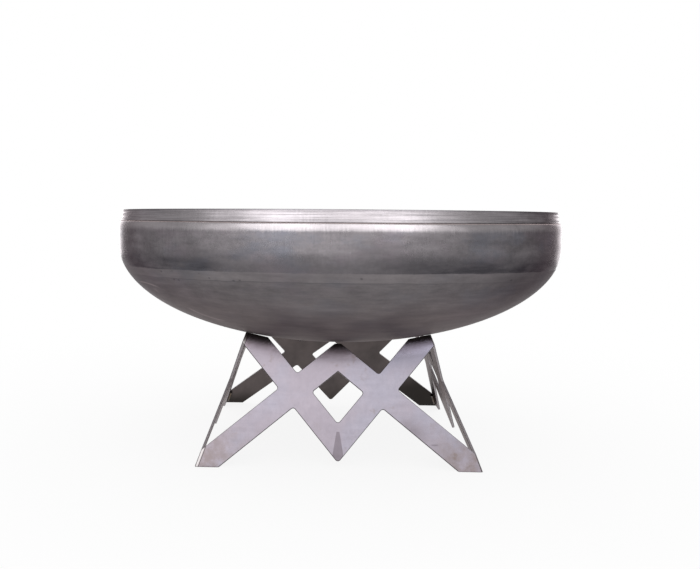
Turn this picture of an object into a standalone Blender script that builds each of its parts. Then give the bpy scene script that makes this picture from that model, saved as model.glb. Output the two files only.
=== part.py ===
"""Fire pit: a round steel bowl that lies loose on a square base of four leaning plates with crossed bars.

Metres, +Z up. The origin is on the ground, in the middle of the base, and the front plate faces -Y.
Each plate is drawn flat: u runs across it from its middle, and v runs up its outer face from the ground.
"""

import math

import bmesh
import bpy
from mathutils import Matrix, Vector

# Driving dimensions of the base
BASE_WIDTH = 0.535  # over the outer faces, on the ground
LEAN = math.radians(20)  # of each plate, inwards from upright
PLATE = 0.0048  # 3/16 in steel
BAR_WIDTH = 0.046
FOOT_BAR_ANGLE = math.radians(39.5)  # from a foot up to the peak in the middle
ARM_BAR_ANGLE = math.radians(50.5)  # from the V point up to a corner, square to the foot bars
DIAMOND_TOP = 0.184  # v where the two foot bars' lower edges meet
DIAMOND_BOTTOM = 0.0845  # v where the two arm bars' upper edges meet
PEAK_HALF_WIDTH = 0.0063
ARM_TOP_INNER_U = 0.136  # where an arm's sloping top edge starts
ARM_TOP_CORNER_V = 0.2589  # where that edge meets the corner of the base
NOTCH_RADIUS = 0.005
TIP_RADIUS = 0.006
CORNER_RADIUS = 0.001
MITRE_GAP = 0.0003
OVERRUN = 0.02  # how far an outline runs past the mitres before it is trimmed
FOOT_OVERRUN = 0.003  # how far it runs below the ground before it is trimmed

# Driving dimensions of the bowl
BOWL_RADIUS = 0.4572  # a 36 in bowl
BOWL_PLATE = 0.0048
DISH_DEPTH = 0.199  # of the elliptical dish, below the straight wall
WALL_HEIGHT = 0.031  # the straight wall, above the dish
SHOULDER_HEIGHT = 0.016
SHOULDER_STEPS = 5
SHOULDER_STEP = 0.0057  # how far the shoulder draws the lip in
LIP_HEIGHT = 0.0235
LIP_TAPER = 0.0038  # the lip leans in by this much
GROOVE_DEPTH = 0.0006  # of the spun lines round the lip and at its foot
GROOVE_HALF_WIDTH = 0.0007
EDGE_ROUND = 0.0008
DRAIN_RADIUS = 0.019  # a 1.5 in hole
SEAT_GAP = 0.0003  # between the bowl and the corners that it lies on
BOWL_STEPS = 96
DISH_STEPS = 15

# Driving dimensions of the welds
FOOT_BEAD_RADIUS = 0.0032
ARM_BEAD_RADIUS = 0.0028
FOOT_BEAD_HEIGHTS = (0.002, 0.0276)
ARM_BEAD_HEIGHTS = (0.2285, 0.2381)
BEAD_GAP = 0.0003
RIPPLE_PITCH = 0.0032
RIPPLE_HEIGHT = 0.0003
BEAD_END = 0.6  # of the bead's radius, at its ends

BOWL_COLOUR = (0.135, 0.125, 0.132, 1)
PANEL_COLOUR = (0.42, 0.39, 0.42, 1)
WELD_COLOUR = (0.20, 0.18, 0.18, 1)


def clear_scene():
    for found in list(bpy.data.objects):
        bpy.data.objects.remove(found)


def steel(name, colour, roughness):
    """A bare steel with its own colour and roughness."""
    material = bpy.data.materials.new(name)
    material.use_nodes = True
    shader = material.node_tree.nodes["Principled BSDF"]
    shader.inputs["Base Color"].default_value = colour
    shader.inputs["Metallic"].default_value = 0.85
    shader.inputs["Roughness"].default_value = roughness
    return material


def add_part(name, data, turn=0.0):
    """Makes one named sub-part of a mesh or a curve, turned about the axis of the fire pit."""
    part = bpy.data.objects.new(name, data)
    part.rotation_euler.z = turn
    part.parent = fire_pit
    parts.objects.link(part)
    return part


# Base plate outline
def foot_bar_edge(u, start):
    """Height v of a foot bar's edge that crosses the middle of the plate at start."""
    return start - u * math.tan(FOOT_BAR_ANGLE)


def arm_bar_edge(u, start):
    """Height v of an arm bar's edge that crosses the middle of the plate at start."""
    return start + u * math.tan(ARM_BAR_ANGLE)


def crossing(foot_start, arm_start):
    """The point (u, v) where an edge of a foot bar crosses an edge of an arm bar."""
    u = (foot_start - arm_start) / (math.tan(FOOT_BAR_ANGLE) + math.tan(ARM_BAR_ANGLE))
    return u, arm_bar_edge(u, arm_start)


def corner_u(v):
    """Half the width of the base over its outer faces, at height v up a plate."""
    return BASE_WIDTH / 2 - v * math.sin(LEAN)


def rounded(corners, steps=5):
    """Points of a closed outline whose corners (u, v, radius) are rounded by arcs."""
    points = []
    for i, (u, v, radius) in enumerate(corners):
        here = Vector((u, v))
        if radius == 0:
            points.append(here)
            continue
        before = (Vector(corners[i - 1][:2]) - here).normalized()
        after = (Vector(corners[(i + 1) % len(corners)][:2]) - here).normalized()
        half_angle = before.angle(after) / 2
        centre = here + (before + after).normalized() * radius / math.sin(half_angle)
        first = here + before * radius / math.tan(half_angle) - centre
        last = here + after * radius / math.tan(half_angle) - centre
        sweep = first.angle_signed(last)
        for k in range(steps + 1):
            points.append(centre + Matrix.Rotation(-sweep * k / steps, 2) @ first)
    return points


FOOT_BAR_TOP = DIAMOND_TOP + BAR_WIDTH / math.cos(FOOT_BAR_ANGLE)
ARM_BAR_BOTTOM = DIAMOND_BOTTOM - BAR_WIDTH / math.cos(ARM_BAR_ANGLE)
ARM_TOP_OUTER_U = corner_u(ARM_TOP_CORNER_V)
ARM_TOP_INNER_V = arm_bar_edge(ARM_TOP_INNER_U, DIAMOND_BOTTOM)
ARM_TOP_SLOPE = (ARM_TOP_CORNER_V - ARM_TOP_INNER_V) / (ARM_TOP_OUTER_U - ARM_TOP_INNER_U)


def plate_corners():
    """The right half of a plate's outline, from the V point round to the peak, as (u, v, radius)."""
    lower_notch = crossing(DIAMOND_TOP, ARM_BAR_BOTTOM)
    side_notch = crossing(FOOT_BAR_TOP, ARM_BAR_BOTTOM)
    upper_notch = crossing(FOOT_BAR_TOP, DIAMOND_BOTTOM)
    foot_inner = (DIAMOND_TOP + FOOT_OVERRUN) / math.tan(FOOT_BAR_ANGLE)
    foot_outer = BASE_WIDTH / 2 + OVERRUN
    arm_outer = corner_u(ARM_TOP_CORNER_V) + OVERRUN
    return [
        (*lower_notch, NOTCH_RADIUS),
        (foot_inner, -FOOT_OVERRUN, 0),
        (foot_outer, -FOOT_OVERRUN, 0),
        (foot_outer, foot_bar_edge(foot_outer, FOOT_BAR_TOP), 0),
        (*side_notch, NOTCH_RADIUS),
        (arm_outer, arm_bar_edge(arm_outer, ARM_BAR_BOTTOM), 0),
        (arm_outer, ARM_TOP_CORNER_V + OVERRUN * ARM_TOP_SLOPE, 0),
        (ARM_TOP_INNER_U, ARM_TOP_INNER_V, CORNER_RADIUS),
        (*upper_notch, NOTCH_RADIUS),
        (PEAK_HALF_WIDTH, foot_bar_edge(PEAK_HALF_WIDTH, FOOT_BAR_TOP), CORNER_RADIUS),
    ]


def diamond_corners():
    """The hole in the middle of a plate, between the four bars."""
    side_u, side_v = crossing(DIAMOND_TOP, DIAMOND_BOTTOM)
    return [
        (0, DIAMOND_BOTTOM, NOTCH_RADIUS),
        (side_u, side_v, NOTCH_RADIUS),
        (0, DIAMOND_TOP, 0),
        (-side_u, side_v, NOTCH_RADIUS),
    ]


def add_outline(curve, points):
    outline = curve.splines.new("POLY")
    outline.points.add(len(points) - 1)
    for spot, point in zip(outline.points, points):
        spot.co = (point[0], point[1], 0, 1)
    outline.use_cyclic_u = True


def trim(shape, point, normal):
    """Cuts away what lies past a plane, and closes the cut."""
    geometry = shape.verts[:] + shape.edges[:] + shape.faces[:]
    cut = bmesh.ops.bisect_plane(
        shape, geom=geometry, plane_co=point, plane_no=normal, dist=1e-6, clear_outer=True
    )
    edges = [piece for piece in cut["geom_cut"] if isinstance(piece, bmesh.types.BMEdge)]
    bmesh.ops.holes_fill(shape, edges=edges, sides=0)


def plate_mesh():
    """The front plate as a mesh, leaning in its place, with flat feet and mitred corners."""
    right = plate_corners()
    left = [(-u, v, radius) for u, v, radius in reversed(right)]
    flat = bpy.data.curves.new("plate_outline", "CURVE")
    flat.dimensions = "2D"
    flat.fill_mode = "BOTH"
    flat.extrude = PLATE / 2
    add_outline(flat, rounded([(0, ARM_BAR_BOTTOM, TIP_RADIUS)] + right + left))
    add_outline(flat, rounded(diamond_corners()))
    drawing = bpy.data.objects.new("plate_outline", flat)
    parts.objects.link(drawing)
    evaluated = drawing.evaluated_get(bpy.context.evaluated_depsgraph_get())
    mesh = bpy.data.meshes.new_from_object(evaluated)
    bpy.data.objects.remove(drawing)

    shape = bmesh.new()
    shape.from_mesh(mesh)
    bmesh.ops.remove_doubles(shape, verts=shape.verts, dist=1e-6)
    outer_face = Matrix.Translation((0, 0, -PLATE / 2))
    lean = Matrix.Rotation(math.pi / 2 - LEAN, 4, "X")
    place = Matrix.Translation((0, -BASE_WIDTH / 2, 0))
    bmesh.ops.transform(shape, matrix=place @ lean @ outer_face, verts=shape.verts)
    trim(shape, (0, 0, 0), (0, 0, -1))
    for side in (-1, 1):
        trim(shape, (0, -MITRE_GAP / math.sqrt(2), 0), (side, 1, 0))
    bmesh.ops.recalc_face_normals(shape, faces=shape.faces)
    shape.to_mesh(mesh)
    shape.free()
    mesh.name = "crossed_bar_plate"
    return mesh


# Fire bowl, turned from one profile
def dish_height(radius, dish_radius, depth):
    """How far an elliptical dish lies below its straight wall, at a radius from the axis."""
    return depth * math.sqrt(1 - (radius / dish_radius) ** 2)


def arm_tip(depth):
    """Distance along X and Y, and height, of an arm's tip in the mitre, at a depth through the plate."""
    u = ARM_TOP_OUTER_U - depth * math.cos(LEAN) / (1 + ARM_TOP_SLOPE * math.sin(LEAN))
    v = ARM_TOP_CORNER_V + (u - ARM_TOP_OUTER_U) * ARM_TOP_SLOPE
    return u, v * math.cos(LEAN) - depth * math.sin(LEAN)


def bowl_seat():
    """Height of the top of the dish when it lies on the tips of the arms."""
    heights = []
    for across, height in (arm_tip(0), arm_tip(PLATE)):
        heights.append(height + dish_height(across * math.sqrt(2), BOWL_RADIUS, DISH_DEPTH))
    return max(heights) + SEAT_GAP


def dish_arc(inset):
    """The dish from the drain hole up to the straight wall, set in by a plate thickness or not."""
    radius = BOWL_RADIUS - inset
    depth = DISH_DEPTH - inset
    start = math.asin(DRAIN_RADIUS / radius)
    points = []
    for k in range(DISH_STEPS + 1):
        angle = start + (math.pi / 2 - start) * k / DISH_STEPS
        points.append((radius * math.sin(angle), bowl_seat() - depth * math.cos(angle)))
    return points


def shoulder(inset):
    """The joggle from the foot of the lip down to the straight wall, set in by a plate thickness or not."""
    wall_top = bowl_seat() + WALL_HEIGHT
    points = []
    for k in range(SHOULDER_STEPS + 1):
        angle = math.pi / 2 * k / SHOULDER_STEPS
        inwards = inset + SHOULDER_STEP * (1 - math.sin(angle))
        points.append((BOWL_RADIUS - inwards, wall_top + SHOULDER_HEIGHT * math.cos(angle)))
    return points


def lip_radius(height):
    """Outer radius of the leaning lip at a height above its foot."""
    return BOWL_RADIUS - SHOULDER_STEP - LIP_TAPER * height / LIP_HEIGHT


def bowl_profile():
    """The closed section of the bowl, down its outer side and up its inner side."""
    lip_foot = bowl_seat() + WALL_HEIGHT + SHOULDER_HEIGHT
    top = lip_foot + LIP_HEIGHT
    outer = [
        (lip_radius(LIP_HEIGHT) - EDGE_ROUND, top),
        (lip_radius(LIP_HEIGHT), top - EDGE_ROUND),
    ]
    for middle in (LIP_HEIGHT * 2 / 3, LIP_HEIGHT / 3, GROOVE_HALF_WIDTH):
        for offset, depth in ((1, 0), (0, GROOVE_DEPTH), (-1, 0)):
            height = middle + offset * GROOVE_HALF_WIDTH
            outer.append((lip_radius(height) - depth, lip_foot + height))
    outer += shoulder(0)[1:]
    outer += reversed(dish_arc(0))

    inner = dish_arc(BOWL_PLATE)
    inner += reversed(shoulder(BOWL_PLATE))
    inner.append((lip_radius(LIP_HEIGHT) - BOWL_PLATE, top - EDGE_ROUND))
    inner.append((lip_radius(LIP_HEIGHT) - BOWL_PLATE + EDGE_ROUND, top))
    return outer + inner


def add_bowl(material):
    profile = bmesh.new()
    points = [profile.verts.new((radius, 0, height)) for radius, height in bowl_profile()]
    for i, point in enumerate(points):
        profile.edges.new((points[i - 1], point))
    mesh = bpy.data.meshes.new("fire_bowl")
    profile.to_mesh(mesh)
    profile.free()
    mesh.materials.append(material)
    bowl = add_part("fire_bowl", mesh)
    turn = bowl.modifiers.new("turn", "SCREW")
    turn.axis = "Z"
    turn.steps = BOWL_STEPS
    turn.render_steps = BOWL_STEPS
    turn.use_merge_vertices = True
    turn.merge_threshold = 0.0001
    turn.use_smooth_shade = True


# Inside corner welds
def inner_corner(height):
    """Distance from the axis, along X and along Y, of the corner between two plates' inner faces."""
    return BASE_WIDTH / 2 - height * math.tan(LEAN) - PLATE / math.cos(LEAN)


def add_weld(name, low, high, radius, turn, material):
    """A rippled bead up an inside corner between two heights, made at the front right and turned."""
    inset = (radius + BEAD_GAP) / math.cos(LEAN)
    ripples = round((high - low) / RIPPLE_PITCH)
    count = ripples * 2 + 1
    bead = bpy.data.curves.new(name, "CURVE")
    bead.dimensions = "3D"
    bead.bevel_depth = radius
    bead.bevel_resolution = 2
    bead.use_fill_caps = True
    line = bead.splines.new("POLY")
    line.points.add(count - 1)
    for k, spot in enumerate(line.points):
        height = low + (high - low) * k / (count - 1)
        across = inner_corner(height) - inset
        spot.co = (across, -across, height, 1)
        is_end = k in (0, count - 1)
        is_trough = k % 2 == 0
        spot.radius = BEAD_END if is_end else 1 - RIPPLE_HEIGHT / radius * is_trough
    bead.materials.append(material)
    add_part(name, bead, turn)


clear_scene()
parts = bpy.data.collections.new("fire_pit")
bpy.context.scene.collection.children.link(parts)
fire_pit = bpy.data.objects.new("fire_pit_axis", None)
parts.objects.link(fire_pit)

# Four equal plates round the axis, from the front towards the right
panel_mesh = plate_mesh()
panel_mesh.materials.append(steel("panel_steel", PANEL_COLOUR, 0.45))
for k, side in enumerate(("front", "right", "back", "left")):
    add_part(side + "_panel", panel_mesh, k * math.pi / 2)

# A long bead in each foot and a short one at each arm tip
weld_steel = steel("weld_steel", WELD_COLOUR, 0.5)
for k, corner in enumerate(("front_right", "back_right", "back_left", "front_left")):
    turn = k * math.pi / 2
    add_weld("foot_weld_" + corner, *FOOT_BEAD_HEIGHTS, FOOT_BEAD_RADIUS, turn, weld_steel)
    add_weld("arm_weld_" + corner, *ARM_BEAD_HEIGHTS, ARM_BEAD_RADIUS, turn, weld_steel)

add_bowl(steel("bowl_steel", BOWL_COLOUR, 0.42))
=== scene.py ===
"""Looks of the fire pit: a dished steel bowl that lies loose on a square base of four crossed-bar plates.

Metres, +Z up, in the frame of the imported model. The front plate faces -Y.
"""

import math

import bmesh
import bpy
from mathutils import Matrix, Vector


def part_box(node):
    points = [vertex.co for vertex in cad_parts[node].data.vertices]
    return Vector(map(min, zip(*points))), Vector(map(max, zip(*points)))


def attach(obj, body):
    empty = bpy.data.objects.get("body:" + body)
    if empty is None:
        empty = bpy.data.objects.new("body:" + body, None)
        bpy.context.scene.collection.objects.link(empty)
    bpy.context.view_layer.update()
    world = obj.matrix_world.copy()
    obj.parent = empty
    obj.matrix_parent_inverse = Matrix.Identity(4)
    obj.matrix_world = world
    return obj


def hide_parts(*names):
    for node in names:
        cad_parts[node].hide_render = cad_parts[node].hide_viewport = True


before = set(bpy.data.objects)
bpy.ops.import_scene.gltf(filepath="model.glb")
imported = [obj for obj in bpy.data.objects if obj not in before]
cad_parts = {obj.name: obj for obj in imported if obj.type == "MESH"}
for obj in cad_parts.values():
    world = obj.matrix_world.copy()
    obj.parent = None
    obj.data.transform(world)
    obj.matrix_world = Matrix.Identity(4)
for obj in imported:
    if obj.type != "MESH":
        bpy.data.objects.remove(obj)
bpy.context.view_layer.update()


# Base plates
# Four equal pieces of 3/16 in steel plate, laser cut as crossed bars with a diamond between them.
# They are blasted to a satin grey, lean in by 20 degrees and meet in mitres at the corners.

PLATE_LEAN = math.radians(20)
PLATE_THICKNESS = 0.0048
PLATE_EDGE_ROUND = 0.001
SAME_POINT = 1e-6
SAME_PLANE = math.radians(1)
TINY_ARC = 0.0002  # shorter sides, those of the small corners at the tips, are merged to one point
CREASE = math.radians(25)
FLAT_FACING = 0.6  # a flat side of the plate looks outwards or inwards by more than this cosine
RIM_FACING = (0.2, 0.97)  # the facets of an outer rim look outwards by a cosine between these
SHADED_FLAT = 0.999  # a face that looks outwards or inwards by this cosine isn't shaded round
FRONT_PLATE = (-0.2, -0.21)  # the depths at which the front plate's own marks set in
MARK_TOP = 0.0655  # the wedge mark's highest point, half its width there, and how it widens below
MARK_HALF_WIDTH = 0.0028
MARK_FLARE = 0.18
RUB_PLACE = (0.18, 0.045)  # x and height
DARK_PATCH_PLACE = (0.129, -0.248, 0.062)
JOINT_WIDTH = 0.0062  # of the bright ground edge at the left end of each plate
CONTACT_REACH = 0.052  # how far from the bowl the plates are shaded by it
PLATE_DARK = (0.375, 0.335, 0.385, 1)
PLATE_LIGHT = (0.455, 0.405, 0.46, 1)
PLATE_BLUE = (0.40, 0.385, 0.46, 1)
PLATE_BROWN = (0.30, 0.245, 0.24, 1)
MARK_GREY = (0.225, 0.192, 0.222, 1)
HEAT_BLUE = (0.26, 0.255, 0.33, 1)
EDGE_BRIGHT_AND_HIGHLIGHT = (0.74, 0.70, 0.70, 1)
JOINT_DARK_AND_SHADE = (0.09, 0.075, 0.075, 1)
CONTACT_SHADE = (0.02, 0.017, 0.013, 1)
CUT_DARK = (0.33, 0.31, 0.33, 1)
CUT_LIGHT = (0.48, 0.44, 0.455, 1)
# Painted shade of the plates' rims, lighter on top
RIM_SHADE_DARK = (0.012, 0.01, 0.01, 1)
RIM_SHADE_LIGHT = (0.05, 0.042, 0.04, 1)
RIM_UPPER_LIT = (0.24, 0.215, 0.235, 1)
# Painted shade of the plates' inner faces
INNER_SHADE_DARK = (0.064, 0.055, 0.054, 1)
INNER_SHADE_LIGHT = (0.13, 0.108, 0.106, 1)
INNER_SHADE_BLACK = (0.02, 0.018, 0.016, 1)


def calc(tree, operation, *values, clamp=False):
    """The result of a Math node on sockets or plain numbers."""
    node = tree.nodes.new("ShaderNodeMath")
    node.operation = operation
    node.use_clamp = clamp
    for socket, value in zip(node.inputs, values):
        if isinstance(value, bpy.types.NodeSocket):
            tree.links.new(value, socket)
        else:
            socket.default_value = value
    return node.outputs[0]


def gap(tree, value, middle):
    """How far a value lies from a middle, to either side."""
    return calc(tree, "ABSOLUTE", calc(tree, "SUBTRACT", value, middle))


def step_up(tree, value, low, high):
    """A soft step from 0 to 1 as a value goes from low to high."""
    node = tree.nodes.new("ShaderNodeMapRange")
    node.interpolation_type = "SMOOTHSTEP"
    tree.links.new(value, node.inputs["Value"])
    node.inputs["From Min"].default_value = low
    node.inputs["From Max"].default_value = high
    return node.outputs["Result"]


def mix_colour(tree, share, first, second):
    """A mix of two colours, each a socket or a plain colour."""
    node = tree.nodes.new("ShaderNodeMix")
    node.data_type = "RGBA"
    for socket, value in ((node.inputs[0], share), (node.inputs[6], first), (node.inputs[7], second)):
        if isinstance(value, bpy.types.NodeSocket):
            tree.links.new(value, socket)
        else:
            socket.default_value = value
    return node.outputs[2]


def lay_over(tree, colour, tint, mask, strength):
    """A colour with a tint over it where a mask is 1, up to a strength."""
    return mix_colour(tree, calc(tree, "MULTIPLY", mask, strength), colour, tint)


def brightened(tree, colour, factor):
    """A colour made lighter or darker by a factor."""
    node = tree.nodes.new("ShaderNodeHueSaturation")
    tree.links.new(colour, node.inputs["Color"])
    tree.links.new(factor, node.inputs["Value"])
    return node.outputs["Color"]


def axes(tree, vector):
    """The three parts of a vector."""
    node = tree.nodes.new("ShaderNodeSeparateXYZ")
    tree.links.new(vector, node.inputs[0])
    return node.outputs


def stretched(tree, place, scale, turn=(0, 0, 0)):
    """Object coordinates stretched by a scale for each axis, after a turn."""
    node = tree.nodes.new("ShaderNodeMapping")
    tree.links.new(place, node.inputs["Vector"])
    node.inputs["Scale"].default_value = scale
    node.inputs["Rotation"].default_value = turn
    return node.outputs["Vector"]


def new_group(name, inputs, outputs):
    """An empty shader node group with named sockets, and its input and output nodes."""
    group = bpy.data.node_groups.new(name, "ShaderNodeTree")
    for socket, kind in inputs:
        group.interface.new_socket(socket, in_out="INPUT", socket_type="NodeSocket" + kind)
    for socket, kind in outputs:
        group.interface.new_socket(socket, in_out="OUTPUT", socket_type="NodeSocket" + kind)
    return group, group.nodes.new("NodeGroupInput"), group.nodes.new("NodeGroupOutput")


def clouding_group():
    """Soft clouds over steel, from 0 to 1, with a wanted contrast."""
    group, given, made = new_group(
        "clouding",
        [("Vector", "Vector"), ("Scale", "Float"), ("Contrast", "Float")],
        [("Clouds", "Float")],
    )
    noise = group.nodes.new("ShaderNodeTexNoise")
    noise.inputs["Detail"].default_value = 6.0
    noise.inputs["Roughness"].default_value = 0.6
    group.links.new(given.outputs["Vector"], noise.inputs["Vector"])
    group.links.new(given.outputs["Scale"], noise.inputs["Scale"])
    centred = calc(group, "SUBTRACT", noise.outputs["Fac"], 0.5)
    clouds = calc(group, "MULTIPLY_ADD", centred, given.outputs["Contrast"], 0.5, clamp=True)
    group.links.new(clouds, made.inputs["Clouds"])
    return group


clouding = clouding_group()


def add_clouds(tree, place, scale, contrast):
    """Clouds of one size over a place, from the clouding group."""
    node = tree.nodes.new("ShaderNodeGroup")
    node.node_tree = clouding
    tree.links.new(place, node.inputs["Vector"])
    node.inputs["Scale"].default_value = scale
    node.inputs["Contrast"].default_value = contrast
    return node.outputs["Clouds"]


def new_steel(name, roughness):
    """A bare steel: its material, node tree, shader and object coordinates."""
    material = bpy.data.materials.new(name)
    material.use_nodes = True
    tree = material.node_tree
    shader = tree.nodes["Principled BSDF"]
    shader.inputs["Metallic"].default_value = 1.0
    shader.inputs["Roughness"].default_value = roughness
    place = tree.nodes.new("ShaderNodeTexCoord").outputs["Object"]
    return material, tree, shader, place


def add_bump(tree, shader, height, depth, strength):
    """Fine relief of a depth in metres."""
    node = tree.nodes.new("ShaderNodeBump")
    node.inputs["Strength"].default_value = strength
    node.inputs["Distance"].default_value = depth
    tree.links.new(height, node.inputs["Height"])
    tree.links.new(node.outputs["Normal"], shader.inputs["Normal"])


def plate_steel():
    """Outer faces: satin grey with a bluish cast in places, faint rubbed streaks and brown stains, with
    painted light and shade under the bowl, towards the ground and to the right.
    """
    material, tree, shader, place = new_steel("plate_steel", 0.25)
    x, y, height = axes(tree, place)
    on_front = step_up(tree, y, *FRONT_PLATE)
    clouds = add_clouds(tree, place, 11.0, 1.8)
    colour = mix_colour(tree, clouds, PLATE_DARK, PLATE_LIGHT)
    blue = step_up(tree, add_clouds(tree, place, 6.0, 2.6), 0.4, 0.9)
    colour = lay_over(tree, colour, PLATE_BLUE, blue, 0.7)

    # A darker blue tint from the heat lies beside the arm welds of two corners
    into_corner = calc(tree, "MULTIPLY", calc(tree, "MULTIPLY", x, y), -1.0)
    heat = calc(
        tree, "MULTIPLY", step_up(tree, into_corner, 0.004, 0.022), step_up(tree, height, 0.15, 0.22)
    )
    colour = lay_over(tree, colour, HEAT_BLUE, heat, 0.75)

    # Brown tints lie beside the welds in the feet, and as small stains elsewhere
    from_corner = gap(tree, calc(tree, "ABSOLUTE", x), calc(tree, "ABSOLUTE", y))
    spots = add_clouds(tree, place, 45.0, 2.2)
    foot = calc(
        tree, "MULTIPLY", step_up(tree, from_corner, 0.14, 0.01), step_up(tree, height, 0.1, 0.005)
    )
    stain = calc(tree, "MULTIPLY", step_up(tree, spots, 0.1, 0.8), foot)
    rare = calc(
        tree, "MULTIPLY", step_up(tree, spots, 0.62, 0.85),
        step_up(tree, add_clouds(tree, place, 9.0, 2.4), 0.45, 0.8),
    )
    stain = calc(tree, "MULTIPLY_ADD", rare, 0.45, calc(tree, "MULTIPLY", stain, 0.8), clamp=True)
    colour = mix_colour(tree, stain, colour, PLATE_BROWN)

    # A short dark rub lies on the right foot of the front plate
    rub = calc(
        tree, "MULTIPLY", step_up(tree, gap(tree, x, RUB_PLACE[0]), 0.009, 0.003),
        step_up(tree, gap(tree, height, RUB_PLACE[1]), 0.0022, 0.0004),
    )
    colour = lay_over(tree, colour, MARK_GREY, calc(tree, "MULTIPLY", rub, on_front), 0.6)

    # A dark wedge-shaped mark stands on the V point of the front plate
    below_top = calc(tree, "SUBTRACT", MARK_TOP, height)
    half_width = calc(tree, "MULTIPLY_ADD", below_top, MARK_FLARE, MARK_HALF_WIDTH)
    across = calc(tree, "SUBTRACT", calc(tree, "ABSOLUTE", x), half_width)
    mark = calc(
        tree, "MULTIPLY", step_up(tree, across, 0.0007, -0.0007),
        step_up(tree, height, MARK_TOP + 0.0006, MARK_TOP - 0.0006),
    )
    mark = calc(tree, "MULTIPLY", mark, on_front)
    streaks = add_clouds(tree, stretched(tree, place, (1, 1, 0.12)), 160.0, 1.8)
    mark = calc(tree, "MULTIPLY", mark, calc(tree, "MULTIPLY_ADD", streaks, 0.25, 0.65))
    colour = mix_colour(tree, mark, colour, MARK_GREY)

    # At its left end each plate shows the ground edge of the joint as a bright strip, partly a painted
    # highlight, with a dark line beside it, and its right end is a dark line of painted shade
    lead = calc(tree, "SUBTRACT", calc(tree, "ABSOLUTE", y), calc(tree, "ABSOLUTE", x))
    which_end = calc(tree, "MULTIPLY", calc(tree, "MULTIPLY", x, y), lead)
    at_left = calc(tree, "GREATER_THAN", which_end, 0.0)
    at_right = calc(tree, "SUBTRACT", 1.0, at_left)
    edge = step_up(tree, from_corner, JOINT_WIDTH, JOINT_WIDTH - 0.0006)
    colour = lay_over(tree, colour, EDGE_BRIGHT_AND_HIGHLIGHT, calc(tree, "MULTIPLY", edge, at_left), 0.9)
    beside_edge = step_up(tree, gap(tree, from_corner, JOINT_WIDTH), 0.0012, 0.0006)
    left_line = calc(tree, "MULTIPLY", beside_edge, at_left)
    right_shade_line = calc(tree, "MULTIPLY", step_up(tree, from_corner, 0.0032, 0.002), at_right)
    colour = lay_over(tree, colour, JOINT_DARK_AND_SHADE, calc(tree, "MAXIMUM", left_line, right_shade_line), 0.8)

    # Faint streaks run down and aslant over a fine grain
    streak = calc(tree, "MULTIPLY", calc(tree, "SUBTRACT", streaks, 0.5), step_up(tree, clouds, 0.2, 0.8))
    aslant = stretched(tree, place, (0.12, 1, 1), turn=(0, math.radians(-42), 0))
    rubbed = calc(
        tree, "MULTIPLY", calc(tree, "SUBTRACT", add_clouds(tree, aslant, 90.0, 2.6), 0.5),
        step_up(tree, add_clouds(tree, place, 7.5, 2.8), 0.35, 0.8),
    )
    grain = calc(tree, "SUBTRACT", add_clouds(tree, place, 75.0, 2.2), 0.5)
    streak = calc(tree, "MULTIPLY_ADD", rubbed, 1.2, streak)
    streak = calc(tree, "MULTIPLY_ADD", grain, 0.8, streak)

    # Painted shade makes the plate darker towards the ground and the right, and it is darker in one patch
    value = calc(tree, "MULTIPLY_ADD", streak, 0.14, 1.0)
    value = calc(tree, "MULTIPLY_ADD", step_up(tree, height, 0.14, 0.03), -0.10, value)
    value = calc(tree, "MULTIPLY_ADD", x, -0.35, value)
    from_patch = tree.nodes.new("ShaderNodeVectorMath")
    from_patch.operation = "DISTANCE"
    tree.links.new(place, from_patch.inputs[0])
    from_patch.inputs[1].default_value = DARK_PATCH_PLACE
    dull = step_up(tree, from_patch.outputs["Value"], 0.045, 0.01)
    value = calc(tree, "MULTIPLY_ADD", dull, -0.2, value)

    # Close under the bowl painted light makes it lighter, which evens out the bowl's dark reflection,
    # and painted shade makes it black where the bowl all but touches it
    near = tree.nodes.new("ShaderNodeAmbientOcclusion")
    near.inputs["Distance"].default_value = CONTACT_REACH
    openness = near.outputs["AO"]
    to_right = step_up(tree, x, 0.02, 0.12)
    painted_light_near_bowl = calc(tree, "MULTIPLY", step_up(tree, openness, 0.88, 0.7), step_up(tree, height, 0.15, 0.19))
    painted_light_near_bowl = calc(tree, "MULTIPLY", painted_light_near_bowl, calc(tree, "MULTIPLY_ADD", to_right, 0.55, 0.6))
    colour = brightened(tree, colour, calc(tree, "ADD", value, painted_light_near_bowl))
    painted_contact_shade = step_up(tree, calc(tree, "MULTIPLY_ADD", to_right, 0.045, openness), 0.67, 0.6)
    colour = lay_over(tree, colour, CONTACT_SHADE, painted_contact_shade, 0.97)
    tree.links.new(colour, shader.inputs["Base Color"])
    rough = calc(tree, "MULTIPLY_ADD", clouds, 0.05, calc(tree, "MULTIPLY_ADD", streak, 0.05, 0.16))
    tree.links.new(rough, shader.inputs["Roughness"])
    add_bump(tree, shader, add_clouds(tree, place, 500.0, 1.0), 0.00004, 0.2)
    return material


def cut_edge_steel(name, across):
    """Laser-cut edges: fine striations that run through the plate, with a scale for each axis."""
    material, tree, shader, place = new_steel(name, 0.6)
    shader.inputs["Metallic"].default_value = 0.5
    lines = add_clouds(tree, stretched(tree, place, across), 900.0, 2.6)
    colour = mix_colour(tree, lines, CUT_DARK, CUT_LIGHT)
    colour = lay_over(tree, colour, PLATE_BROWN, add_clouds(tree, place, 25.0, 2.0), 0.2)
    tree.links.new(colour, shader.inputs["Base Color"])
    add_bump(tree, shader, lines, 0.0001, 0.4)
    return material


def rim_shade_steel():
    """The rounded rims of the outer faces, near black with painted shade, and lighter where they face up.
    """
    material, tree, shader, place = new_steel("rim_shade_steel", 0.5)
    facing_up = axes(tree, place.node.outputs["Normal"])[2]
    colour = mix_colour(tree, add_clouds(tree, place, 120.0, 2.4), RIM_SHADE_DARK, RIM_SHADE_LIGHT)
    colour = mix_colour(tree, step_up(tree, facing_up, 0.35, 0.6), colour, RIM_UPPER_LIT)
    tree.links.new(colour, shader.inputs["Base Color"])
    return material


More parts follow.
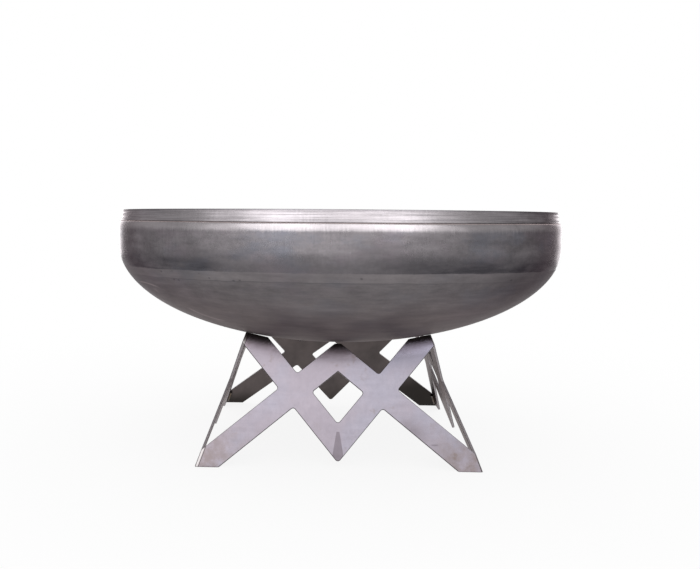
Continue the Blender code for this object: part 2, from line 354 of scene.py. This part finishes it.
def shaded_inner_steel():
    """The inner faces of the plates, darkened by painted shade, blackest near the ground."""
    material, tree, shader, place = new_steel("shaded_inner_steel", 0.34)
    shader.inputs["Specular Tint"].default_value = (0.75, 0.68, 0.68, 1)
    x, _, height = axes(tree, place)
    colour = mix_colour(tree, add_clouds(tree, place, 12.0, 2.4), INNER_SHADE_DARK, INNER_SHADE_LIGHT)
    aslant = calc(tree, "MULTIPLY_ADD", x, -0.28, height)
    low = calc(tree, "MAXIMUM", step_up(tree, height, 0.04, 0.0), step_up(tree, aslant, 0.06, -0.01))
    colour = lay_over(tree, colour, INNER_SHADE_BLACK, low, 0.85)
    tree.links.new(colour, shader.inputs["Base Color"])
    add_bump(tree, shader, add_clouds(tree, place, 300.0, 1.5), 0.0001, 0.3)
    return material


def add_object(shape, name):
    """The object made from a finished bmesh, in the scene at the origin."""
    mesh = bpy.data.meshes.new(name)
    shape.to_mesh(mesh)
    shape.free()
    made = bpy.data.objects.new(name, mesh)
    bpy.context.scene.collection.objects.link(made)
    return made


plate_face = plate_steel()
front_cuts = cut_edge_steel("cut_edge_steel_front", (1, 0.05, 1))
side_cuts = cut_edge_steel("cut_edge_steel_side", (0.05, 1, 1))
plate_inside = shaded_inner_steel()
plate_rim_shade = rim_shade_steel()

for k, side in enumerate(("front", "right", "back", "left")):
    shape = bmesh.new()
    shape.from_mesh(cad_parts[side + "_panel"].data)
    bmesh.ops.remove_doubles(shape, verts=shape.verts, dist=SAME_POINT)
    bmesh.ops.dissolve_limit(shape, angle_limit=SAME_PLANE, verts=shape.verts, edges=shape.edges)
    tiny = [edge for edge in shape.edges if edge.calc_length() < TINY_ARC]
    bmesh.ops.collapse(shape, edges=tiny, uvs=False)
    sharp = [edge for edge in shape.edges if edge.calc_face_angle() > CREASE]
    bmesh.ops.bevel(
        shape, geom=sharp, offset=PLATE_EDGE_ROUND, segments=2,
        affect="EDGES", profile=0.5, material=-1, clamp_overlap=False,
    )
    shape.normal_update()
    turn = Matrix.Rotation(k * math.pi / 2, 3, "Z")
    outward = turn @ Vector((0, -math.cos(PLATE_LEAN), math.sin(PLATE_LEAN)))
    for face in shape.faces:
        facing = face.normal.dot(outward)
        if RIM_FACING[0] < facing < RIM_FACING[1]:
            face.material_index = 3
        elif abs(facing) < FLAT_FACING:
            face.material_index = 1
        else:
            face.material_index = 0 if facing > 0 else 2
        face.smooth = abs(facing) < SHADED_FLAT
    plate = add_object(shape, side + "_plate")
    for material in (plate_face, side_cuts if k % 2 else front_cuts, plate_inside, plate_rim_shade):
        plate.data.materials.append(material)
    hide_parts(side + "_panel")
    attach(plate, "base")


# Welds
# A rippled bead joins each pair of plates inside the corner, a long one in the foot and a short one
# at the arm tip. The weld metal is dull and dark, with straw coloured heat tints.

BEAD_PITCH = 0.0017  # from one ripple to the next
BEAD_SINK = 0.35  # how far a bead's middle lies off the corner, as a share of its radius
BEAD_TILT = math.radians(28)
BEAD_SIDES = 14
# Sizes of a bead's rings, as shares of its radius: the closing ones, the first one, and each ripple's
BEAD_TIP = 0.3
BEAD_START = 0.7
RIPPLE = (1.0, 0.98, 0.91)
# Each kind of bead: its lowest and highest point and its radius
BEADS = {"foot_weld": (0.0042, 0.0285, 0.0046), "arm_weld": (0.2255, 0.2368, 0.0034)}
WELD_DARK = (0.055, 0.046, 0.042, 1)
WELD_LIGHT = (0.18, 0.16, 0.152, 1)
WELD_STRAW = (0.15, 0.1, 0.06, 1)


def weld_steel():
    """Weld metal: mottled grey with straw tints and a fine uneven skin."""
    material, tree, shader, place = new_steel("weld_steel", 0.36)
    mottle = add_clouds(tree, place, 260.0, 2.4)
    colour = mix_colour(tree, mottle, WELD_DARK, WELD_LIGHT)
    straw = step_up(tree, add_clouds(tree, place, 90.0, 2.6), 0.5, 0.8)
    colour = lay_over(tree, colour, WELD_STRAW, straw, 0.6)
    tree.links.new(colour, shader.inputs["Base Color"])
    add_bump(tree, shader, mottle, 0.0003, 0.5)
    return material


def bead_ring(height, size):
    """Where one ring of a bead lies in the front right corner, tipped so that the ripples are crescents."""
    base_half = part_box("right_panel")[1].x
    inner = base_half - height * math.tan(PLATE_LEAN) - PLATE_THICKNESS / math.cos(PLATE_LEAN)
    off = inner - size * BEAD_SINK
    tip = Matrix.Rotation(BEAD_TILT, 4, Vector((1, 1, 0)).normalized())
    lean = Vector((0, 0, 1)).rotation_difference(Vector((-1, 1, 1 / math.tan(PLATE_LEAN)))).to_matrix()
    return (
        Matrix.Translation((off, -off, height)) @ lean.to_4x4() @ tip
        @ Matrix.Diagonal((size, size, size, 1))
    )


weld_metal = weld_steel()

for kind, (low, high, radius) in BEADS.items():
    count = len(RIPPLE) * round((high - low) / BEAD_PITCH)
    for k, corner in enumerate(("front_right", "back_right", "back_left", "front_left")):
        shape = bmesh.new()
        last = bead_ring(low, radius * BEAD_TIP)
        bmesh.ops.create_circle(shape, segments=BEAD_SIDES, radius=1, matrix=last)
        edges = shape.edges[:]
        for i in range(1, count + 1):
            share = BEAD_TIP if i == count else BEAD_START if i == 1 else RIPPLE[i % len(RIPPLE)]
            here = bead_ring(low + (high - low) * i / count, radius * share)
            grown = bmesh.ops.extrude_edge_only(shape, edges=edges)["geom"]
            ring = [piece for piece in grown if isinstance(piece, bmesh.types.BMVert)]
            edges = [piece for piece in grown if isinstance(piece, bmesh.types.BMEdge)]
            edges = [edge for edge in edges if all(vert in ring for vert in edge.verts)]
            bmesh.ops.transform(shape, matrix=here @ last.inverted(), verts=ring)
            last = here
        ends = [edge for edge in shape.edges if edge.is_boundary]
        bmesh.ops.holes_fill(shape, edges=ends, sides=0)
        bmesh.ops.recalc_face_normals(shape, faces=shape.faces)
        bmesh.ops.rotate(shape, verts=shape.verts, matrix=Matrix.Rotation(k * math.pi / 2, 3, "Z"))
        bead = add_object(shape, kind + "_bead_" + corner)
        bead.data.shade_smooth()
        bead.data.materials.append(weld_metal)
        smooth = bead.modifiers.new("smooth", "SUBSURF")
        smooth.levels = smooth.render_levels = 1
        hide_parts(kind + "_" + corner)
        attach(bead, "base")


# Fire bowl
# One piece of 3/16 in steel, pressed to an elliptical dish with a straight wall above it.
# The lip is drawn in by a plate thickness and leans in; spinning left fine lines on it.

BOWL_PLATE = 0.0048
LIP_HEIGHT = 0.0215
LIP_TAPER = 0.0038
SHOULDER_HEIGHT = 0.0155
SHOULDER_STEP = 0.0057
WALL_HEIGHT = 0.0335
WALL_BARREL = 0.0003  # how far the wall draws in towards its top
DISH_DEPTH = 0.199
DRAIN_RADIUS = 0.019
LIP_LINES = (0.80, 0.56, 0.18)  # places of the spun lines, as shares of the lip's height
LINE_DEPTH = 0.00013
LINE_HALF_WIDTH = 0.0008
SEAM_DEPTH = 0.0003
EDGE_ROUND = 0.0008
BOWL_CREASE = math.radians(50)
# Steps of the rounded edges, of the shoulder outside and inside, of the wall, the dish and a full turn
EDGE_STEPS = 4
SHOULDER_STEPS = (24, 16)
WALL_STEPS = 8
DISH_STEPS = 64
BOWL_STEPS = 288
BAND_LOW = 0.3618  # heights of the band that the press left on the knuckle of the dish
BAND_HIGH = 0.3775
BAND_DIP = 0.04  # the band dips towards both sides by this times the square of x
# Each scratch is part of a circle seen from the front: its middle, its height, its radius and its ends
SCRATCHES = (
    (-0.3725, 0.2083, 0.1330, -0.388, -0.333),
    (-0.3520, 0.3135, 0.0168, -0.352, -0.333),
    (-0.1966, 0.4444, 0.1694, -0.284, -0.206),
)
MILL_DARK = (0.08, 0.074, 0.079, 1)
MILL_LIGHT = (0.195, 0.18, 0.19, 1)
MILL_BROWN = (0.205, 0.18, 0.173, 1)
MILL_BLUE = (0.112, 0.116, 0.138, 1)
MILL_PINK = (0.165, 0.142, 0.158, 1)
SMEAR_AND_SHADE = (0.044, 0.042, 0.048, 1)
BAND_STEEL = (0.30, 0.275, 0.28, 1)
SCRATCH_STEEL = (0.34, 0.29, 0.29, 1)
BURNISHED_AND_HIGHLIGHT = (0.20, 0.186, 0.195, 1)
STRIP_HIGHLIGHT = (0.27, 0.25, 0.258, 1)
SEAM_DARK = (0.07, 0.058, 0.058, 1)
SEAM_LIGHT = (0.34, 0.28, 0.275, 1)

bowl_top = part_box("fire_bowl")[1].z
bowl_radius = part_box("fire_bowl")[1].x
lip_foot = bowl_top - LIP_HEIGHT
wall_top = lip_foot - SHOULDER_HEIGHT
dish_top = wall_top - WALL_HEIGHT


def arc(across, up, centre, steps, start, end):
    """Points (r, z) along part of an ellipse round a centre, between two angles from the outward side."""
    points = []
    for k in range(steps + 1):
        angle = start + (end - start) * k / steps
        points.append((centre[0] + across * math.cos(angle), centre[1] + up * math.sin(angle)))
    return points


def lip_radius(height):
    """Outer radius of the leaning lip at a height above its foot."""
    return bowl_radius - SHOULDER_STEP - LIP_TAPER * height / LIP_HEIGHT


def dish_arc(radius, depth):
    """The dish from the straight wall down to the edge of the drain hole."""
    return arc(radius, -depth, (0, dish_top), DISH_STEPS, 0, math.acos(DRAIN_RADIUS / radius))


def bowl_section():
    """The closed section of the bowl as points (r, z), down its outer side and up its inner side."""
    right = math.pi / 2
    lip_top = (lip_radius(LIP_HEIGHT) - EDGE_ROUND, bowl_top - EDGE_ROUND)
    section = arc(EDGE_ROUND, EDGE_ROUND, lip_top, EDGE_STEPS, right, 0)
    for share in LIP_LINES:
        for k in (2, 1, 0, -1, -2):
            height = share * LIP_HEIGHT + k * LINE_HALF_WIDTH / 2
            depth = LINE_DEPTH * math.cos(k * math.pi / 4) ** 2
            section.append((lip_radius(height) - depth, lip_foot + height))
    section.append((lip_radius(SEAM_DEPTH), lip_foot + SEAM_DEPTH * 2))
    section.append((lip_radius(SEAM_DEPTH) - SEAM_DEPTH, lip_foot + SEAM_DEPTH))
    shoulder = (bowl_radius - SHOULDER_STEP, wall_top)
    section += arc(SHOULDER_STEP - WALL_BARREL, SHOULDER_HEIGHT, shoulder, SHOULDER_STEPS[0], right, 0)
    for k in range(WALL_STEPS - 1, 0, -1):
        share = k / WALL_STEPS
        section.append((bowl_radius - WALL_BARREL * share ** 2, dish_top + WALL_HEIGHT * share))
    section += dish_arc(bowl_radius, DISH_DEPTH)

    section += dish_arc(bowl_radius - BOWL_PLATE, DISH_DEPTH - BOWL_PLATE)[::-1]
    shoulder = (bowl_radius - SHOULDER_STEP - BOWL_PLATE, wall_top)
    section += arc(SHOULDER_STEP, SHOULDER_HEIGHT, shoulder, SHOULDER_STEPS[1], 0, right)
    lip_top = (lip_radius(LIP_HEIGHT) - BOWL_PLATE + EDGE_ROUND, bowl_top - EDGE_ROUND)
    section += arc(EDGE_ROUND, EDGE_ROUND, lip_top, EDGE_STEPS, math.pi, right)
    return section


def within(tree, value, rise, fall):
    """A soft step up over one pair of values, times a soft step down over another."""
    return calc(tree, "MULTIPLY", step_up(tree, value, *rise), step_up(tree, value, *fall))


def bowl_steel():
    """Rolled steel: cloudy mill skin, upright brush marks on the wall, spun lines on the lip, and painted
    highlight and shade in places.
    """
    material, tree, shader, place = new_steel("bowl_steel", 0.3)
    shader.inputs["Specular Tint"].default_value = (0.46, 0.43, 0.44, 1)
    x, y, height = axes(tree, place)

    # The mill skin is cloudy and blotched, and bluer and pinker in places
    clouds = add_clouds(tree, stretched(tree, place, (1, 1, 2.6)), 8.0, 2.2)
    mottle = add_clouds(tree, stretched(tree, place, (1, 1, 1.6)), 34.0, 2.4)
    fine = add_clouds(tree, stretched(tree, place, (1, 1, 1.5)), 140.0, 2.0)
    colour = mix_colour(tree, clouds, MILL_DARK, MILL_LIGHT)
    colour = mix_colour(tree, 0.5, colour, mix_colour(tree, mottle, MILL_DARK, MILL_LIGHT))
    colour = mix_colour(tree, 0.28, colour, mix_colour(tree, fine, MILL_DARK, MILL_LIGHT))
    blue = step_up(tree, add_clouds(tree, stretched(tree, place, (1, 1, 2)), 7.5, 2.8), 0.45, 0.9)
    colour = lay_over(tree, colour, MILL_BLUE, blue, 0.6)
    pink = step_up(tree, add_clouds(tree, stretched(tree, place, (1.3, 1.2, 2.4)), 7.0, 2.8), 0.5, 0.95)
    colour = lay_over(tree, colour, MILL_PINK, pink, 0.5)

    # Below the knuckle, whose height wavers a little, the skin is browner and has level streaks
    waver = calc(tree, "SUBTRACT", add_clouds(tree, place, 28.0, 1.0), 0.5)
    wavy = calc(tree, "MULTIPLY_ADD", waver, 0.0035, height)
    wavy = calc(tree, "MULTIPLY_ADD", calc(tree, "MULTIPLY", x, x), BAND_DIP, wavy)
    below = step_up(tree, wavy, BAND_HIGH + 0.001, BAND_HIGH - 0.001)
    brown = calc(tree, "MULTIPLY_ADD", step_up(tree, height, 0.36, 0.25), 0.65, 0.2)
    colour = mix_colour(tree, calc(tree, "MULTIPLY", brown, below), colour, MILL_BROWN)
    streaks = add_clouds(tree, stretched(tree, place, (1, 1, 8)), 16.0, 2.4)
    colour = lay_over(tree, colour, SMEAR_AND_SHADE, calc(tree, "MULTIPLY", streaks, below), 0.38)

    # Dark smears lie along the wall above the knuckle, heavier on some stretches than on others
    smears = add_clouds(tree, stretched(tree, place, (1, 1, 5)), 12.0, 3.2)
    stretch = calc(tree, "MAXIMUM", step_up(tree, x, 0.0, 0.16), step_up(tree, x, -0.17, -0.25))
    dark = calc(tree, "MULTIPLY_ADD", smears, 0.6, 0.34)
    dark = calc(tree, "MULTIPLY", dark, calc(tree, "MULTIPLY_ADD", stretch, 0.9, 0.1))
    low_wall = within(
        tree, wavy, (BAND_HIGH - 0.0008, BAND_HIGH + 0.001), (BAND_HIGH + 0.04, BAND_HIGH + 0.01)
    )
    colour = lay_over(tree, colour, SMEAR_AND_SHADE, dark, low_wall)

    # The press left a paler band on the knuckle, fainter in places and towards the right
    on_band = within(tree, wavy, (BAND_LOW, BAND_LOW + 0.0006), (BAND_HIGH, BAND_HIGH - 0.0006))
    right_shade = step_up(tree, x, 0.1, 0.34)
    faint = calc(tree, "MULTIPLY_ADD", add_clouds(tree, place, 7.0, 2.8), 0.18, 0.05)
    faint = calc(tree, "MULTIPLY", faint, calc(tree, "MULTIPLY_ADD", right_shade, -0.8, 1.0))
    colour = lay_over(tree, colour, BAND_STEEL, on_band, faint)

    # Small pits and a broken dark line lie along the band's foot, and painted shade darkens the right side
    # below the knuckle
    pits = tree.nodes.new("ShaderNodeTexVoronoi")
    pits.inputs["Scale"].default_value = 55.0
    tree.links.new(stretched(tree, place, (1, 1, 1.7)), pits.inputs["Vector"])
    pit = step_up(tree, calc(tree, "MULTIPLY_ADD", fine, 0.16, pits.outputs["Distance"]), 0.27, 0.2)
    pit = calc(tree, "MULTIPLY", pit, step_up(tree, add_clouds(tree, place, 14.0, 3.0), 0.5, 0.75))
    near_band = within(
        tree, wavy, (BAND_LOW - 0.008, BAND_LOW - 0.002), (BAND_HIGH + 0.003, BAND_HIGH - 0.004)
    )
    pit = calc(tree, "MULTIPLY", calc(tree, "MULTIPLY", pit, near_band), 0.5)
    foot_line = within(
        tree, wavy, (BAND_LOW - 0.0016, BAND_LOW - 0.0008), (BAND_LOW + 0.0004, BAND_LOW - 0.0002)
    )
    foot_line = calc(tree, "MULTIPLY", foot_line, calc(tree, "MULTIPLY", mottle, 0.4))
    colour = mix_colour(tree, calc(tree, "MAXIMUM", pit, foot_line), colour, SMEAR_AND_SHADE)
    colour = lay_over(tree, colour, SMEAR_AND_SHADE, calc(tree, "MULTIPLY", right_shade, below), 0.3)

    # Thin bright scratches curve over the left of the dish, on its outer side
    facing_back = axes(tree, place.node.outputs["Normal"])[1]
    in_front = calc(
        tree, "MULTIPLY", step_up(tree, y, -0.1, -0.15), step_up(tree, facing_back, 0.0, -0.1)
    )
    for middle, middle_height, radius, left, right in SCRATCHES:
        across = calc(tree, "POWER", calc(tree, "SUBTRACT", x, middle), 2.0)
        up = calc(tree, "POWER", calc(tree, "SUBTRACT", height, middle_height), 2.0)
        from_middle = calc(tree, "SQRT", calc(tree, "ADD", across, up))
        scratch = step_up(tree, gap(tree, from_middle, radius), 0.0016, 0.0006)
        reach = within(tree, x, (left, left + 0.01), (right, right - 0.015))
        scratch = calc(tree, "MULTIPLY", scratch, calc(tree, "MULTIPLY", reach, in_front))
        colour = lay_over(tree, colour, SCRATCH_STEEL, scratch, 0.65)

    # The shoulder and the lip are burnished by the spinning and lighter, partly as a painted highlight,
    # with a ragged lower edge, and the shoulder strip below the lip has more painted highlight
    upright = add_clouds(tree, stretched(tree, place, (1, 1, 0.08)), 330.0, 2.6)
    ticks = calc(tree, "MULTIPLY_ADD", calc(tree, "SUBTRACT", upright, 0.5), 0.003, height)
    burnish_and_highlight = step_up(tree, ticks, wall_top - 0.002, wall_top + 0.008)
    colour = lay_over(tree, colour, BURNISHED_AND_HIGHLIGHT, burnish_and_highlight, 0.85)
    on_lip = step_up(tree, height, lip_foot, lip_foot + 0.001)
    strip_highlight = calc(tree, "SUBTRACT", burnish_and_highlight, on_lip)
    colour = lay_over(tree, colour, STRIP_HIGHLIGHT, strip_highlight, 0.5)

    # A pale raised line with a dark one over it goes round where the lip springs from the shoulder
    over = within(
        tree, height, (lip_foot - 0.0002, lip_foot + 0.0002), (lip_foot + 0.0018, lip_foot + 0.001)
    )
    under = within(
        tree, height, (lip_foot - 0.0018, lip_foot - 0.0012), (lip_foot + 0.0002, lip_foot - 0.0002)
    )
    broken = calc(tree, "MULTIPLY_ADD", add_clouds(tree, place, 24.0, 2.2), 0.5, 0.1)
    colour = lay_over(tree, colour, SEAM_DARK, over, broken)
    colour = lay_over(tree, colour, SEAM_LIGHT, under, 0.8)
    top_edge = step_up(tree, height, bowl_top - 0.0032, bowl_top - 0.0018)
    colour = lay_over(tree, colour, SMEAR_AND_SHADE, top_edge, 0.45)

    # Brush marks run down the wall, and fine level lines round the lip
    wall = step_up(tree, height, BAND_HIGH + 0.002, BAND_HIGH + 0.03)
    patches = step_up(tree, add_clouds(tree, place, 9.0, 2.6), 0.3, 0.8)
    brushed = calc(tree, "MULTIPLY", wall, calc(tree, "MULTIPLY_ADD", patches, 0.36, 0.1))
    level = add_clouds(tree, stretched(tree, place, (0.02, 0.02, 1)), 420.0, 2.6)
    marks = calc(tree, "MULTIPLY", calc(tree, "SUBTRACT", upright, 0.5), brushed)
    lines = calc(tree, "MULTIPLY", calc(tree, "SUBTRACT", level, 0.5), on_lip)
    both = calc(tree, "ADD", marks, lines)
    value = calc(tree, "MULTIPLY_ADD", both, 0.5, 1.0)

    # The wall is smudged; painted light makes it lighter left of the middle and the dish lighter below,
    # and painted shade makes the right end darker
    smudged = calc(tree, "MULTIPLY", calc(tree, "SUBTRACT", smears, 0.5), wall)
    value = calc(tree, "MULTIPLY_ADD", smudged, 0.3, value)
    centre = within(tree, x, (-0.28, -0.2), (0.06, -0.02))
    centre = calc(tree, "MULTIPLY", centre, calc(tree, "SUBTRACT", wall, burnish_and_highlight, clamp=True))
    value = calc(tree, "MULTIPLY_ADD", centre, 0.18, value)
    value = calc(tree, "MULTIPLY_ADD", below, 0.08, value)
    value = calc(tree, "MULTIPLY_ADD", step_up(tree, height, 0.345, 0.31), 0.13, value)
    end = calc(tree, "MULTIPLY", step_up(tree, x, 0.23, 0.34), step_up(tree, y, 0.1, -0.1))
    end = calc(tree, "MULTIPLY", end, calc(tree, "SUBTRACT", 1.0, under))
    value = calc(tree, "MULTIPLY_ADD", end, calc(tree, "MULTIPLY_ADD", on_lip, -0.16, -0.22), value)
    tree.links.new(brightened(tree, colour, value), shader.inputs["Base Color"])

    # Worn and brushed places shine, the dish is duller, and so are the lip's top and its spun lines
    rough = calc(tree, "MULTIPLY_ADD", clouds, -0.05, 0.31)
    rough = calc(tree, "MULTIPLY_ADD", mottle, -0.04, rough)
    rough = calc(tree, "MULTIPLY_ADD", both, -0.10, rough)
    rough = calc(tree, "MULTIPLY_ADD", below, 0.12, rough)
    rough = calc(tree, "MULTIPLY_ADD", step_up(tree, height, 0.29, 0.24), 0.12, rough)
    rough = calc(tree, "MULTIPLY_ADD", under, 0.2, rough)
    share = calc(tree, "DIVIDE", calc(tree, "SUBTRACT", height, lip_foot), LIP_HEIGHT)
    dull = calc(tree, "MULTIPLY", step_up(tree, share, 0.74, 0.84), 0.13)
    for line in LIP_LINES[1:]:
        dull = calc(tree, "MULTIPLY_ADD", step_up(tree, gap(tree, share, line), 0.09, 0.03), 0.08, dull)
    tree.links.new(calc(tree, "ADD", rough, dull), shader.inputs["Roughness"])
    add_bump(tree, shader, both, 0.0002, 0.15)
    return material


shape = bmesh.new()
points = [shape.verts.new((r, 0, z)) for r, z in bowl_section()]
for i, point in enumerate(points):
    shape.edges.new((points[i - 1], point))
bmesh.ops.spin(
    shape, geom=shape.verts[:] + shape.edges[:], cent=(0, 0, 0), axis=(0, 0, 1),
    angle=2 * math.pi, steps=BOWL_STEPS, use_merge=True,
)
bmesh.ops.remove_doubles(shape, verts=shape.verts, dist=SAME_POINT)
bmesh.ops.recalc_face_normals(shape, faces=shape.faces)
bowl = add_object(shape, "steel_bowl")
bowl.data.shade_smooth()
bowl.data.set_sharp_from_angle(angle=BOWL_CREASE)
bowl.data.materials.append(bowl_steel())
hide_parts("fire_bowl")
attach(bowl, "bowl")


# Floor and light
# A plain pale floor that fades into a white surround, and soft boxes round the object.
# The floor and the surround are plain white to the eye, and the floor keeps a light shadow.

FLOOR_SIZE = 40.0
FLOOR_COLOUR = (0.93, 0.93, 0.93, 1)
FLOOR_GLOW = 0.88  # share of plain white near the object, all of it farther out
GLOW_REACH = (0.6, 1.8)
ROOM_LIGHT = 1.0
WHITE = (1, 1, 1, 1)
LIGHT_AIM = Vector((0, 0, 0.4))
# Each soft box: name, place, size across and up, brightness seen from the object, and what it lights
SOFT_BOXES = (
    ("front_box", (-0.1, -2.6, 1.6), (2.2, 1.8), 0.25, None),
    ("canopy_box", (-0.05, -1.8, 1.42), (3.3, 1.95), 3.0, "steel_bowl"),
    ("canopy_left", (-0.95, -1.78, 1.42), (0.9, 1.95), 1.2, "steel_bowl"),
    ("canopy_right", (0.8, -1.78, 1.42), (0.7, 1.95), 1.1, "steel_bowl"),
    ("left_wing", (-2.0, -1.5, 1.42), (1.1, 1.95), 1.2, "steel_bowl"),
    ("right_wing", (1.75, -1.65, 1.42), (0.8, 1.95), 1.0, "steel_bowl"),
    ("back_right_box", (1.12, 1.41, 0.72), (0.85, 1.1), 3.4, "steel_bowl"),
    ("back_left_box", (-1.36, 2.04, 0.72), (0.72, 1.1), 4.4, "steel_bowl"),
)


def seen_rays(tree):
    """Is 1 for the rays that show a surface to the eye, straight, mirrored or through glass."""
    path = tree.nodes.new("ShaderNodeLightPath")
    seen = calc(tree, "MAXIMUM", path.outputs["Is Camera Ray"], path.outputs["Is Glossy Ray"])
    return calc(tree, "MAXIMUM", seen, path.outputs["Is Transmission Ray"])


def mix_shaders(tree, share, first, second, out):
    """A mix of two shader nodes on an output node's surface."""
    mix = tree.nodes.new("ShaderNodeMixShader")
    tree.links.new(share, mix.inputs["Fac"])
    tree.links.new(first.outputs[0], mix.inputs[1])
    tree.links.new(second.outputs[0], mix.inputs[2])
    tree.links.new(mix.outputs[0], out.inputs["Surface"])


shape = bmesh.new()
bmesh.ops.create_grid(shape, x_segments=1, y_segments=1, size=FLOOR_SIZE / 2)
floor = add_object(shape, "studio_floor")

paint = bpy.data.materials.new("floor_paint")
paint.use_nodes = True
floor.data.materials.append(paint)
tree = paint.node_tree
tree.nodes.clear()
matt = tree.nodes.new("ShaderNodeBsdfDiffuse")
matt.inputs["Color"].default_value = FLOOR_COLOUR
far = tree.nodes.new("ShaderNodeVectorMath")
far.operation = "LENGTH"
tree.links.new(tree.nodes.new("ShaderNodeTexCoord").outputs["Object"], far.inputs[0])
near = calc(tree, "SUBTRACT", 1.0, step_up(tree, far.outputs["Value"], *GLOW_REACH))
glow = calc(tree, "SUBTRACT", 1.0, calc(tree, "MULTIPLY", near, 1.0 - FLOOR_GLOW))
share = calc(tree, "MULTIPLY", glow, seen_rays(tree))
white = tree.nodes.new("ShaderNodeEmission")
mix_shaders(tree, share, matt, white, tree.nodes.new("ShaderNodeOutputMaterial"))

world = bpy.data.worlds.new("studio")
world.use_nodes = True
bpy.context.scene.world = world
tree = world.node_tree
tree.nodes.clear()
room = tree.nodes.new("ShaderNodeBackground")
room.inputs["Color"].default_value = WHITE
room.inputs["Strength"].default_value = ROOM_LIGHT
white = tree.nodes.new("ShaderNodeBackground")
white.inputs["Color"].default_value = WHITE
mix_shaders(tree, seen_rays(tree), room, white, tree.nodes.new("ShaderNodeOutputWorld"))

for name, place, (across, up), brightness, lit in SOFT_BOXES:
    lamp = bpy.data.lights.new(name, "AREA")
    lamp.shape = "RECTANGLE"
    lamp.size = across
    lamp.size_y = up
    lamp.energy = brightness * math.pi * across * up
    box = bpy.data.objects.new(name, lamp)
    box.location = place
    box.rotation_euler = (LIGHT_AIM - Vector(place)).to_track_quat("-Z", "Y").to_euler()
    box.visible_camera = False
    bpy.context.scene.collection.objects.link(box)
    if lit:
        lit_pieces = bpy.data.collections.new(name + "_pieces")
        lit_pieces.objects.link(bpy.data.objects[lit])
        box.light_linking.receiver_collection = lit_pieces


# Camera
# It stands level with the rim, a little to the left, and the picture is shifted as the photograph is.

CAMERA_PLACE = (-0.0568, -1.7316, 0.4659)
CAMERA_TURN = math.radians(2.092)  # to the left
CAMERA_DOWN = math.radians(4.755)
CAMERA_ROLL = math.radians(0.459)
CAMERA_SHIFT = 0.1
LENS = 41.4
SENSOR_WIDTH = 36

camera_data = bpy.data.cameras.new("camera")
camera_data.lens = LENS
camera_data.sensor_width = SENSOR_WIDTH
camera_data.shift_x = CAMERA_SHIFT
camera = bpy.data.objects.new("camera", camera_data)
camera.matrix_world = (
    Matrix.Translation(CAMERA_PLACE)
    @ Matrix.Rotation(CAMERA_TURN, 4, "Z")
    @ Matrix.Rotation(math.pi / 2 - CAMERA_DOWN, 4, "X")
    @ Matrix.Rotation(CAMERA_ROLL, 4, "Z")
)
bpy.context.scene.collection.objects.link(camera)
bpy.context.scene.camera = camera
bpy.context.scene.view_settings.view_transform = "Standard"
